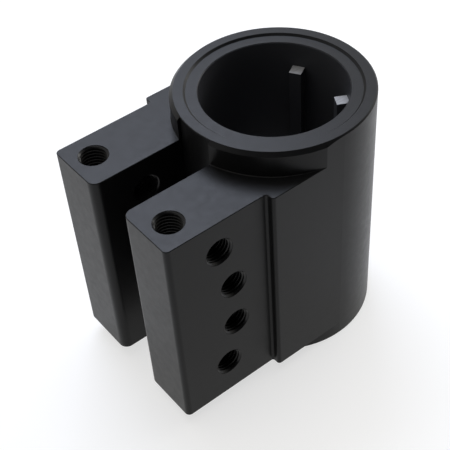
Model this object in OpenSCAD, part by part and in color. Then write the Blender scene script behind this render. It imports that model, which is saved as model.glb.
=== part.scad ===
// Clamp for the steering tube of a kick scooter, machined from one block.
// The tube's axis is Z, the underside of the collar is z = 0, and the two arms reach toward -Y.

/* [Collar] */
// Diameter of the bore that holds the tube
bore_d = 39.4; // [34:0.1:44]
// Outer diameter of the round back of the collar
collar_d = 53; // [51:0.5:60]
// Height of the collar
collar_h = 75; // [72:0.5:100]
// Diameter of the shallow recess in the collar's upper face
recess_d = 46.9; // [45:0.1:50]
// Depth of that recess
recess_depth = 0.6; // [0.3:0.1:3]
// Width of the recess's sloped side
recess_slope = 0.6; // [0.1:0.1:0.8]
// How far the collar's wall over the arms stands outside its round back
boss_step = 0.6; // [0.3:0.1:2]
// Width of the sloped edge round the outside of the collar's two ends
rim_break = 0.4; // [0.2:0.1:1]
// Width of the sloped edge round the bore's two mouths
bore_break = 0.2; // [0.1:0.05:0.5]

/* [Arms] */
// Distance from the tube's axis to the ends of the arms
arm_reach = 52.8; // [52:0.1:70]
// Height of the arms and of the wide block that carries them
arm_h = 63.4; // [56:0.1:69]
// How far the arms stay above the collar's underside
arm_lift = 4.4; // [1:0.1:8]
// How far the outer side of each arm stands in from the side of the wide block
arm_step = 2.5; // [2:0.1:5]
// Distance from the tube's axis to the front of the wide block, where the arms leave it
block_reach = 22.9; // [15:0.1:28]
// Width of the slot between the arms
slot_w = 12.6; // [6:0.2:18]
// Thickness that the slot takes off the front of the collar
slot_bite = 0.2; // [0.1:0.05:0.4]

/* [Edges] */
// Rounding of the arms' upright edges along the slot
slot_edge_r = 2.5; // [1:0.1:3]
// Rounding of the arms' upright edges on the outer sides
outer_edge_r = 1.4; // [0.5:0.1:3]
// Rounding of the wide block's upright front edges
block_edge_r = 0.9; // [0.5:0.1:1.6]
// Rounding in the inner corner between arm and wide block
inner_corner_r = 0.7; // [0.4:0.1:1.2]
// Rounding at the foot of the collar's wall on the arms' upper face
foot_r = 0.2; // [0.2:0.1:1]
// Width of the sloped edges round the arms' upper and lower faces
arm_break = 0.15; // [0.1:0.05:0.45]

/* [Screw holes] */
// Outer diameter of the screw thread in all holes
thread_d = 8; // [5:0.1:8.4]
// Number of screws across the arms
clamp_screws = 4; // [2:1:4]
// Distance between neighbouring cross holes, along the arc on which they lie
screw_pitch = 14.4; // [11:0.1:16]
// Radius of that arc
screw_arc_r = 60; // [50:1:150]
// Distance from the tube's axis to the nearest point of the arc
screw_arc_y = 34; // [33:0.1:34.4]
// Height of the arc's middle above the middle of the arms
screw_arc_rise = 0.9; // [0:0.1:3]
// Width of the countersink round both ends of each cross hole, outside the thread
cross_sink = 0.1; // [0.05:0.05:1]
// Distance from the ends of the arms back to the upright hole in each arm
top_hole_inset = 6.7; // [5.5:0.1:6.8]
// Distance from the middle plane to those holes
top_hole_x = 16.1; // [12:0.1:18]
// Depth of those holes below the arms' upper face
top_hole_depth = 18; // [10:0.5:30]
// Width of the countersink round their mouths, outside the thread
top_sink = 0.05; // [0.05:0.05:0.8]

/* [Keys] */
// Width of each key inside the bore
key_w = 3.4; // [2:0.1:6]
// How far each key stands into the bore
key_rise = 3.5; // [1:0.1:6]
// Distance from the collar's upper face down to the keys
key_drop = 7.8; // [3:0.1:40]
// Angle of each key to either side of the plane opposite the slot
key_angle = 30; // [15:1:60]

/* [Hidden] */
$fn = 96;

// overshoot of a cut past the face that it opens
over = 1;
// smaller overshoot, for the cutters that run round the arms' small corners
corner_over = 0.25;
// depth of the holes' drill points for each unit of radius
drill_point = 0.6;

bore_r = bore_d / 2;
collar_r = collar_d / 2;
recess_r = recess_d / 2;
thread_r = thread_d / 2;
boss_r = collar_r + boss_step;
rim_face_r = collar_r - rim_break;
slot_end_r = collar_r - slot_bite;
// the wide block's sides run straight into the collar's round back
block_x = collar_r;
arm_x = block_x - arm_step;
slot_x = slot_w / 2;
arm_top = arm_lift + arm_h;
top_hole_y = arm_reach - top_hole_inset;
key_top = collar_h - key_drop;
// where the slot's sides meet the collar's round front
slot_root_y = sqrt(collar_r * collar_r - slot_x * slot_x);

module both_sides() {
    children();
    mirror([1, 0, 0]) children();
}

// corner of a square that stays outside a rounding, whose centre is the origin
module corner_waste(r) {
    difference() {
        square([r + over, r + over]);
        circle(r = r);
    }
}

// plan of the wall that stands over the arms, flush with the wide block's sides
module boss_plan() {
    circle(r = collar_r);
    intersection() {
        circle(r = boss_r);
        translate([-block_x, -boss_r]) square([2 * block_x, boss_r]);
    }
}

// plan of the wide block and the arms, before the slot is cut
module arm_plan() {
    difference() {
        translate([-block_x, -block_reach]) square([2 * block_x, block_reach]);
        both_sides()
            translate([block_x - block_edge_r, block_edge_r - block_reach])
                rotate(-90) corner_waste(block_edge_r);
    }
    difference() {
        translate([-arm_x, -arm_reach]) square([2 * arm_x, arm_reach]);
        both_sides()
            translate([arm_x - outer_edge_r, outer_edge_r - arm_reach])
                rotate(-90) corner_waste(outer_edge_r);
    }
    both_sides()
        difference() {
            translate([arm_x - over, -block_reach - inner_corner_r])
                square([over + inner_corner_r, over + inner_corner_r]);
            translate([arm_x + inner_corner_r, -block_reach - inner_corner_r])
                circle(r = inner_corner_r);
        }
}

// plan of the slot, which ends on the collar and leaves the arms' free ends rounded
module slot_plan() {
    difference() {
        translate([-slot_x, -arm_reach - over]) square([slot_w, arm_reach + over]);
        circle(r = slot_end_r);
    }
    both_sides()
        translate([slot_x + slot_edge_r, slot_edge_r - arm_reach])
            rotate(180) corner_waste(slot_edge_r);
}

// everything inside the sloped edges at the collar's two ends
module rim_envelope() {
    far_r = boss_r + over;
    slope = far_r - rim_face_r;
    rotate_extrude()
        polygon([
            [0, 0],
            [rim_face_r, 0],
            [far_r, slope],
            [far_r, collar_h - slope],
            [rim_face_r, collar_h],
            [0, collar_h]
        ]);
}

// round collar with its slightly wider wall over the arms
module collar() {
    intersection() {
        union() {
            linear_extrude(collar_h) circle(r = collar_r);
            translate([0, 0, arm_top - over]) linear_extrude(collar_h - arm_top + over) boss_plan();
        }
        rim_envelope();
    }
}

// bore with the shallow recess above it and its sloped mouths
module bore_cut() {
    floor_z = collar_h - recess_depth;
    slope_beyond = over * recess_slope / recess_depth;
    rotate_extrude()
        polygon([
            [0, -over],
            [bore_r + bore_break + over, -over],
            [bore_r, bore_break],
            [bore_r, floor_z - bore_break],
            [bore_r + bore_break, floor_z],
            [recess_r - recess_slope, floor_z],
            [recess_r + slope_beyond, collar_h + over],
            [0, collar_h + over]
        ]);
}

// key along the bore's wall, from the collar's underside up to its square end
module key() {
    translate([bore_r - key_rise, -key_w / 2, 0]) cube([key_rise + over, key_w, key_top]);
}

// rounding between the arms' upper face and the collar's wall
module foot_rounding() {
    intersection() {
        translate([0, 0, arm_top])
            rotate_extrude()
                difference() {
                    translate([boss_r - over, -over]) square([over + foot_r, over + foot_r]);
                    translate([boss_r + foot_r, foot_r]) circle(r = foot_r);
                }
        translate([0, 0, arm_lift]) linear_extrude(arm_h + foot_r) arm_plan();
    }
}

// profile of an edge cutter, the edge at the origin, the body at negative x and y
module break_profile(beyond) {
    polygon([
        [-arm_break - beyond, beyond],
        [beyond, -arm_break - beyond],
        [beyond, beyond]
    ]);
}

// cutter for a straight edge from the origin toward +Y, the body at negative X and Z
module straight_break(length) {
    translate([0, length, 0]) rotate([90, 0, 0]) linear_extrude(length) break_profile(over);
}

// cutter for the edge of a corner that bulges out, its centre the origin, from +X to +Y
module outer_break(r) {
    rotate_extrude(angle = 90) translate([r, 0]) break_profile(corner_over);
}

// cutter for the edge of a corner that curves in, its centre the origin, from +X to +Y
module inner_break(r) {
    rotate_extrude(angle = 90) translate([r, 0]) mirror([1, 0]) break_profile(corner_over);
}

// cutters round one arm and one side of the wide block, the body below z = 0;
// both ends of the run reach into the collar
module arm_breaks() {
    slot_run_y = slot_root_y - over;
    translate([slot_x, -slot_run_y, 0])
        rotate(180) straight_break(arm_reach - slot_edge_r - slot_run_y);
    translate([slot_x + slot_edge_r, slot_edge_r - arm_reach, 0])
        rotate(180) outer_break(slot_edge_r);
    translate([slot_x + slot_edge_r, -arm_reach, 0])
        rotate(-90) straight_break(arm_x - outer_edge_r - slot_x - slot_edge_r);
    translate([arm_x - outer_edge_r, outer_edge_r - arm_reach, 0])
        rotate(-90) outer_break(outer_edge_r);
    translate([arm_x, outer_edge_r - arm_reach, 0])
        straight_break(arm_reach - outer_edge_r - block_reach - inner_corner_r);
    translate([arm_x + inner_corner_r, -block_reach - inner_corner_r, 0])
        rotate(90) inner_break(inner_corner_r);
    translate([arm_x + inner_corner_r, -block_reach, 0])
        rotate(-90) straight_break(block_x - block_edge_r - arm_x - inner_corner_r);
    translate([block_x - block_edge_r, block_edge_r - block_reach, 0])
        rotate(-90) outer_break(block_edge_r);
    translate([block_x, block_edge_r - block_reach, 0])
        straight_break(block_reach - block_edge_r);
}

// arms and wide block with their sloped edges, before the slot is cut
module arms() {
    difference() {
        union() {
            translate([0, 0, arm_lift]) linear_extrude(arm_h) arm_plan();
            foot_rounding();
        }
        both_sides() {
            translate([0, 0, arm_top]) arm_breaks();
            translate([0, 0, arm_lift]) mirror([0, 0, 1]) arm_breaks();
        }
    }
}

// countersink of a cross hole, its mouth at the origin, the body at negative X
module cross_mouth() {
    translate([-cross_sink, 0, 0])
        rotate([0, 90, 0])
            cylinder(h = cross_sink + over, r1 = thread_r, r2 = thread_r + cross_sink + over);
}

// threaded hole through both arms along X, countersunk where it meets a face
module cross_hole() {
    rotate([0, 90, 0]) cylinder(h = 2 * (arm_x + over), r = thread_r, center = true);
    both_sides() {
        translate([arm_x, 0, 0]) cross_mouth();
        translate([slot_x, 0, 0]) mirror([1, 0, 0]) cross_mouth();
    }
}

module cross_holes() {
    for (i = [0 : clamp_screws - 1]) {
        angle = (i - (clamp_screws - 1) / 2) * screw_pitch / screw_arc_r * 180 / PI;
        y = screw_arc_y + screw_arc_r * (1 - cos(angle));
        z = arm_lift + arm_h / 2 + screw_arc_rise + screw_arc_r * sin(angle);
        translate([0, -y, z]) cross_hole();
    }
}

// upright threaded hole with its drill point, its mouth at the origin
module top_hole() {
    rotate_extrude()
        polygon([
            [0, over],
            [thread_r + top_sink + over, over],
            [thread_r, -top_sink],
            [thread_r, -top_hole_depth],
            [0, -top_hole_depth - thread_r * drill_point]
        ]);
}

module clamp() {
    color("#3a3c40")
        difference() {
            union() {
                collar();
                arms();
            }
            difference() {
                bore_cut();
                for (side = [-1, 1])
                    rotate(90 + side * key_angle) key();
            }
            translate([0, 0, -over]) linear_extrude(collar_h + 2 * over) slot_plan();
            cross_holes();
            both_sides()
                translate([top_hole_x, -top_hole_y, arm_top]) top_hole();
        }
}

clamp();
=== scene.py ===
"""Studio scene for a clamp that holds the steering tube of a kick scooter."""
import math

import bmesh
import bpy
from mathutils import Matrix, Vector


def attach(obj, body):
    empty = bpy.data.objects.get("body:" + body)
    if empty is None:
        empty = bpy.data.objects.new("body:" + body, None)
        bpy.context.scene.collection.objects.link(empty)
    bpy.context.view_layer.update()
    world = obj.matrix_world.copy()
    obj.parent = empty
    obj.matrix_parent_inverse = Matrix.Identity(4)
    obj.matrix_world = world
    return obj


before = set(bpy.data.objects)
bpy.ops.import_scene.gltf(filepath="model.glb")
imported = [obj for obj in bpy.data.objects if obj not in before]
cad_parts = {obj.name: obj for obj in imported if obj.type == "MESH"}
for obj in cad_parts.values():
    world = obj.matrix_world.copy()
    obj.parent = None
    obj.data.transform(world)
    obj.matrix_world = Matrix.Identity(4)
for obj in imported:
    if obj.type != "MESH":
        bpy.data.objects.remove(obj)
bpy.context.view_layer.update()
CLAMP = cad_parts["clamp"]

MM = 0.001

# sizes of the part that the threads and the bare metal follow, in millimetres
THREAD_R = 4.0
THREAD_PITCH = 1.0
THREAD_CREST_R = 3.42
# gap between a thread's root and the plain bore, and how far its ends reach into the metal
ROOT_GAP = 0.015
END_REACH = 0.12
# how much narrower the lead-in at a hole's mouth gets for each millimetre of depth
LEAD_SLOPE = 1.0
ARM_OUTER_X = 24.0
ARM_INNER_X = 6.3
ARM_TOP_Z = 67.8
ARM_MIDDLE_Z = 36.1
CROSS_SINK = 0.1
SCREW_ARC_R = 60.0
SCREW_ARC_Y = 34.0
SCREW_ARC_RISE = 0.9
SCREW_PITCH = 14.4
SCREWS = 4
TOP_HOLE_X = 16.1
TOP_HOLE_Y = 46.1
TOP_HOLE_DEPTH = 18.0
TOP_SINK = 0.05
KEY_TOP_Z = 67.2
BORE_R = 19.7
# half the width of the bands in which the key tops and the bore's wall are found
KEY_TOP_BAND = 0.02
WALL_BAND = 0.05

# levels of the studio light
FLOOR_GLOW = 0.65
WORLD_LEVEL = 0.60
DARK_SIDE_LEVEL = 0.02
DARK_SIDE = (0.72, -0.22, 0.62)
DARK_SIDE_EDGES = (0.35, 0.85)
FLOOR_COLOUR = (0.4, 0.4, 0.4, 1.0)
OVERHEAD_POWER = 3.0
BACK_STRIP_POWER = 3.5
BACK_STRIP_PLACE = (-0.20, 0.92, 0.42)
WORLD_COLOUR = (1.0, 0.97, 0.91, 1.0)
BACK_LEFT_POWER = 9.0
BACK_LEFT_COLOUR = (0.76, 0.83, 1.0)
BACK_LEFT_PLACE = (-0.62, 0.23, 0.92)

# finish of the black surface
SATIN_IOR = 1.26
SATIN_ROUGHNESS = 0.36
SATIN_SPREAD = 0.03
BLACK = ((0.0060, 0.0061, 0.0065, 1.0), (0.0090, 0.0091, 0.0097, 1.0))
# lighter, bluish colour of the bore's wall: a painted sheen standing in for the light the bore catches
BORE_PAINTED_SHEEN = (0.0500, 0.0515, 0.0580, 1.0)
BARE_METAL = ((0.23, 0.23, 0.235, 1.0), (0.50, 0.50, 0.51, 1.0))
# finish of the cut threads
CUT_IOR = 1.36
CUT_ROUGHNESS = 0.3
CUT_SPREAD = 0.05
CUT_BLACK = ((0.0030, 0.0031, 0.0034, 1.0), (0.0060, 0.0061, 0.0066, 1.0))


def add_camera():
    """Camera where the photograph was taken from, worked out from the part's edges and circles."""
    right = Vector((0.6192373, 0.7829814, -0.0590361)).normalized()
    back = Vector((0.5835536, -0.4086012, 0.7017907)).normalized()
    up = back.cross(right).normalized()
    data = bpy.data.cameras.new("camera")
    data.sensor_width = 36.0
    data.lens = 82.527
    data.clip_start = 0.01
    cam = bpy.data.objects.new("camera", data)
    cam.matrix_world = Matrix((
        (right.x, up.x, back.x, 0.165108),
        (right.y, up.y, back.y, -0.134449),
        (right.z, up.z, back.z, 0.235595),
        (0.0, 0.0, 0.0, 1.0),
    ))
    bpy.context.scene.collection.objects.link(cam)
    bpy.context.scene.camera = cam


def thread_radius(phase):
    """Radius of the thread's wall at a place between two crests, 0 and 1 being the middle of a crest."""
    crest_half = 0.125
    root_start = 0.4375
    place = abs(phase - round(phase))
    root_r = THREAD_R - ROOT_GAP
    if place <= crest_half:
        return THREAD_CREST_R
    if place >= root_start:
        return root_r
    share = (place - crest_half) / (root_start - crest_half)
    return THREAD_CREST_R + share * (root_r - THREAD_CREST_R)


def add_thread(name, mouth, axis, depth, near_sink, far_sink):
    """Threaded wall of one hole: mouth is the middle of its opening, axis points into the metal.

    near_sink and far_sink are the widths of the countersinks, which cut the thread off on a slope.
    """
    columns = 96
    phases = (-0.125, 0.0, 0.125, 0.229, 0.333, 0.4375, 0.5, 0.5625, 0.667, 0.771)
    hidden_r = THREAD_R + END_REACH
    start = near_sink + ROOT_GAP
    end = depth - far_sink - ROOT_GAP
    axis = Vector(axis)
    side = Vector((0.0, 0.0, 1.0)) if abs(axis.z) < 0.5 else Vector((1.0, 0.0, 0.0))
    across = axis.cross(side).normalized()
    side = across.cross(axis).normalized()
    first = math.floor(start / THREAD_PITCH) - 2
    last = math.ceil(end / THREAD_PITCH) + 2
    rows = [(i + p) * THREAD_PITCH for i in range(first, last) for p in phases]
    bm = bmesh.new()
    grid = []
    for column in range(columns + 1):
        angle = 2 * math.pi * column / columns
        spoke = (side * math.cos(angle) + across * math.sin(angle)) if column < columns else side
        line = []

        def put(along, radius):
            line.append(bm.verts.new((Vector(mouth) + axis * along + spoke * radius) * MM))

        put(start, hidden_r)
        for row in rows:
            along = min(max(row + THREAD_PITCH * column / columns, start), end)
            phase = along / THREAD_PITCH - column / columns
            lead = max(THREAD_R + near_sink - LEAD_SLOPE * along,
                       THREAD_R + far_sink - LEAD_SLOPE * (depth - along))
            put(along, max(thread_radius(phase), min(lead, THREAD_R - ROOT_GAP)))
        put(end, hidden_r)
        grid.append(line)
    for one, two in zip(grid, grid[1:]):
        for j in range(len(one)):
            k = (j + 1) % len(one)
            bm.faces.new((one[j], one[k], two[k], two[j]))
    bmesh.ops.remove_doubles(bm, verts=bm.verts, dist=2e-7)
    bmesh.ops.dissolve_degenerate(bm, edges=bm.edges, dist=1e-7)
    bmesh.ops.recalc_face_normals(bm, faces=bm.faces)
    mesh = bpy.data.meshes.new(name)
    bm.to_mesh(mesh)
    bm.free()
    mesh.polygons.foreach_set("use_smooth", [True] * len(mesh.polygons))
    mesh.set_sharp_from_angle(angle=math.radians(28))
    piece = bpy.data.objects.new(name, mesh)
    bpy.context.scene.collection.objects.link(piece)
    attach(piece, "root")
    return piece


def add_threads():
    """Threads of the cross holes in both arms and of the upright holes."""
    pieces = []
    width = ARM_OUTER_X - ARM_INNER_X
    for i in range(SCREWS):
        angle = (i - (SCREWS - 1) / 2) * SCREW_PITCH / SCREW_ARC_R
        y = -(SCREW_ARC_Y + SCREW_ARC_R * (1 - math.cos(angle)))
        z = ARM_MIDDLE_Z + SCREW_ARC_RISE + SCREW_ARC_R * math.sin(angle)
        for side, label in ((1, "right"), (-1, "left")):
            pieces.append(add_thread(f"cross_thread_{label}_{i + 1}", (side * ARM_OUTER_X, y, z),
                                     (-side, 0, 0), width, CROSS_SINK, CROSS_SINK))
    for side, label in ((1, "right"), (-1, "left")):
        pieces.append(add_thread(f"top_thread_{label}", (side * TOP_HOLE_X, -TOP_HOLE_Y, ARM_TOP_Z),
                                 (0, 0, -1), TOP_HOLE_DEPTH, TOP_SINK, 0.0))
    return pieces


class Nodes:
    """Small help for building a material's node tree."""

    def __init__(self, name):
        self.material = bpy.data.materials.new(name)
        self.material.use_nodes = True
        self.tree = self.material.node_tree
        self.shader = self.tree.nodes["Principled BSDF"]
        self.output = self.tree.nodes["Material Output"]

    def add(self, kind, **values):
        node = self.tree.nodes.new(kind)
        for key, value in values.items():
            if key.startswith("in_"):
                name = key[3:].replace("_", " ")
                socket = node.inputs[int(name)] if name.isdigit() else node.inputs[name]
                socket.default_value = value
            else:
                setattr(node, key, value)
        return node

    def link(self, source, target):
        self.tree.links.new(source, target)

    def math(self, operation, one, two=None):
        node = self.add("ShaderNodeMath", operation=operation)
        for i, value in enumerate((one, two)):
            if value is None:
                continue
            if isinstance(value, (int, float)):
                node.inputs[i].default_value = value
            else:
                self.link(value, node.inputs[i])
        return node.outputs[0]


def anodised():
    """Black anodised aluminium over a fine bead blast; the keys' upper ends are bare, freshly cut metal,
    and the bore's wall carries a lighter, bluish colour as a painted sheen.
    """
    n = Nodes("anodised")
    where = n.add("ShaderNodeTexCoord").outputs["Object"]
    grain = n.add("ShaderNodeTexNoise", in_Scale=2800.0, in_Detail=3.0, in_Roughness=0.6)
    cloud = n.add("ShaderNodeTexNoise", in_Scale=520.0, in_Detail=3.0, in_Roughness=0.55)
    for texture in (grain, cloud):
        n.link(where, texture.inputs["Vector"])

    tint = n.add("ShaderNodeMix", data_type="RGBA")
    tint.inputs[6].default_value = BLACK[0]
    tint.inputs[7].default_value = BLACK[1]
    n.link(cloud.outputs[0], tint.inputs[0])

    rough = n.add("ShaderNodeMapRange", in_1=0.3, in_2=0.7,
                  in_3=SATIN_ROUGHNESS - SATIN_SPREAD, in_4=SATIN_ROUGHNESS + SATIN_SPREAD)
    n.link(cloud.outputs[0], rough.inputs[0])

    xyz = n.add("ShaderNodeSeparateXYZ")
    n.link(where, xyz.inputs[0])
    above = n.math("GREATER_THAN", xyz.outputs["Z"], (KEY_TOP_Z - KEY_TOP_BAND) * MM)
    below = n.math("LESS_THAN", xyz.outputs["Z"], (KEY_TOP_Z + KEY_TOP_BAND) * MM)
    square = n.math("ADD", n.math("MULTIPLY", xyz.outputs["X"], xyz.outputs["X"]),
                    n.math("MULTIPLY", xyz.outputs["Y"], xyz.outputs["Y"]))
    inside = n.math("LESS_THAN", square, ((BORE_R - WALL_BAND) * MM) ** 2)
    bore_sheen_mask = n.math("LESS_THAN", square, ((BORE_R + WALL_BAND) * MM) ** 2)
    # the bore's wall takes the lighter bluish colour, a painted sheen rather than its own finish
    wall = n.add("ShaderNodeMix", data_type="RGBA")
    wall.inputs[7].default_value = BORE_PAINTED_SHEEN
    n.link(bore_sheen_mask, wall.inputs[0])
    n.link(tint.outputs[2], wall.inputs[6])
    bare = n.math("MULTIPLY", n.math("MULTIPLY", above, below), inside)

    streaks = n.add("ShaderNodeTexNoise", in_Scale=2500.0, in_Detail=2.0)
    stretch = n.add("ShaderNodeMapping")
    stretch.inputs["Scale"].default_value = (1.0, 0.12, 1.0)
    n.link(where, stretch.inputs["Vector"])
    n.link(stretch.outputs[0], streaks.inputs["Vector"])
    metal = n.add("ShaderNodeMix", data_type="RGBA")
    metal.inputs[6].default_value = BARE_METAL[0]
    metal.inputs[7].default_value = BARE_METAL[1]
    n.link(streaks.outputs[0], metal.inputs[0])

    colour = n.add("ShaderNodeMix", data_type="RGBA")
    n.link(bare, colour.inputs[0])
    n.link(wall.outputs[2], colour.inputs[6])
    n.link(metal.outputs[2], colour.inputs[7])
    n.link(colour.outputs[2], n.shader.inputs["Base Color"])
    n.link(rough.outputs[0], n.shader.inputs["Roughness"])
    n.shader.inputs["IOR"].default_value = SATIN_IOR

    bump = n.add("ShaderNodeBump", in_Strength=0.45, in_Distance=0.00002)
    n.link(grain.outputs[0], bump.inputs["Height"])
    n.link(bump.outputs[0], n.shader.inputs["Normal"])
    return n.material


def cut_thread():
    """The same black surface where a tap cut it: smoother, with fine marks along the thread."""
    n = Nodes("cut_thread")
    where = n.add("ShaderNodeTexCoord").outputs["Object"]
    marks = n.add("ShaderNodeTexNoise", in_Scale=3200.0, in_Detail=2.0)
    n.link(where, marks.inputs["Vector"])
    tint = n.add("ShaderNodeMix", data_type="RGBA")
    tint.inputs[6].default_value = CUT_BLACK[0]
    tint.inputs[7].default_value = CUT_BLACK[1]
    n.link(marks.outputs[0], tint.inputs[0])
    n.link(tint.outputs[2], n.shader.inputs["Base Color"])
    rough = n.add("ShaderNodeMapRange", in_1=0.3, in_2=0.7,
                  in_3=CUT_ROUGHNESS - CUT_SPREAD, in_4=CUT_ROUGHNESS + CUT_SPREAD)
    n.link(marks.outputs[0], rough.inputs[0])
    n.link(rough.outputs[0], n.shader.inputs["Roughness"])
    n.shader.inputs["IOR"].default_value = CUT_IOR
    bump = n.add("ShaderNodeBump", in_Strength=0.2, in_Distance=0.00001)
    n.link(marks.outputs[0], bump.inputs["Height"])
    n.link(bump.outputs[0], n.shader.inputs["Normal"])
    return n.material


def floor_material():
    """Pale floor, white to the camera and in gloss alike, that keeps the object's shadow."""
    n = Nodes("floor")
    n.shader.inputs["Base Color"].default_value = FLOOR_COLOUR
    n.shader.inputs["Roughness"].default_value = 0.9
    n.shader.inputs["Specular IOR Level"].default_value = 0.0
    glow = n.add("ShaderNodeEmission", in_Color=(1.0, 1.0, 1.0, 1.0))
    path = n.add("ShaderNodeLightPath")
    mirrored = n.math("ADD", path.outputs["Is Glossy Ray"], path.outputs["Is Transmission Ray"])
    seen = n.math("ADD", path.outputs["Is Camera Ray"], mirrored)
    n.link(n.math("MULTIPLY", seen, FLOOR_GLOW), glow.inputs["Strength"])
    both = n.add("ShaderNodeAddShader")
    n.link(n.shader.outputs[0], both.inputs[0])
    n.link(glow.outputs[0], both.inputs[1])
    n.link(both.outputs[0], n.output.inputs["Surface"])
    return n.material


def add_floor():
    """Plain floor that the part stands on."""
    mesh = bpy.data.meshes.new("floor")
    reach = 6.0
    corners = [(-reach, -reach, 0), (reach, -reach, 0), (reach, reach, 0), (-reach, reach, 0)]
    mesh.from_pydata(corners, [], [(0, 1, 2, 3)])
    floor = bpy.data.objects.new("floor", mesh)
    mesh.materials.append(floor_material())
    bpy.context.scene.collection.objects.link(floor)


def add_world():
    """Even studio light from all sides but the unlit one, a soft-edged patch of the room."""
    world = bpy.data.worlds.new("studio")
    world.use_nodes = True
    tree = world.node_tree
    back = tree.nodes["Background"]
    back.inputs["Color"].default_value = WORLD_COLOUR
    where = tree.nodes.new("ShaderNodeTexCoord")
    toward = tree.nodes.new("ShaderNodeVectorMath")
    toward.operation = "DOT_PRODUCT"
    toward.inputs[1].default_value = Vector(DARK_SIDE).normalized()
    tree.links.new(where.outputs["Generated"], toward.inputs[0])
    level = tree.nodes.new("ShaderNodeMapRange")
    level.interpolation_type = "SMOOTHSTEP"
    level.inputs["From Min"].default_value = DARK_SIDE_EDGES[0]
    level.inputs["From Max"].default_value = DARK_SIDE_EDGES[1]
    level.inputs["To Min"].default_value = WORLD_LEVEL
    level.inputs["To Max"].default_value = DARK_SIDE_LEVEL
    tree.links.new(toward.outputs["Value"], level.inputs["Value"])
    tree.links.new(level.outputs["Result"], back.inputs["Strength"])
    bpy.context.scene.world = world


def add_softbox(name, place, aim, size, power, colour=(1.0, 1.0, 1.0)):
    data = bpy.data.lights.new(name, "AREA")
    data.shape = "RECTANGLE"
    data.size, data.size_y = size
    data.energy = power
    data.color = colour
    lamp = bpy.data.objects.new(name, data)
    lamp.location = place
    lamp.rotation_euler = (Vector(aim) - Vector(place)).to_track_quat("-Z", "Y").to_euler()
    bpy.context.scene.collection.objects.link(lamp)
    return lamp


add_camera()
threads = add_threads()
finish = anodised()
cut = cut_thread()
for piece in [CLAMP] + threads:
    piece.data.materials.clear()
    piece.data.materials.append(finish if piece == CLAMP else cut)
add_floor()
add_world()
add_softbox("back_left", BACK_LEFT_PLACE, (0.0, -0.01, 0.05), (0.6, 0.6),
            BACK_LEFT_POWER, BACK_LEFT_COLOUR)
add_softbox("overhead", (0.0, 0.0, 1.2), (0.0, 0.0, 0.05), (1.0, 1.0), OVERHEAD_POWER)
add_softbox("back_strip", BACK_STRIP_PLACE, (0.0, -0.03, 0.06), (0.9, 0.25), BACK_STRIP_POWER)

bpy.context.scene.view_settings.view_transform = "Standard"
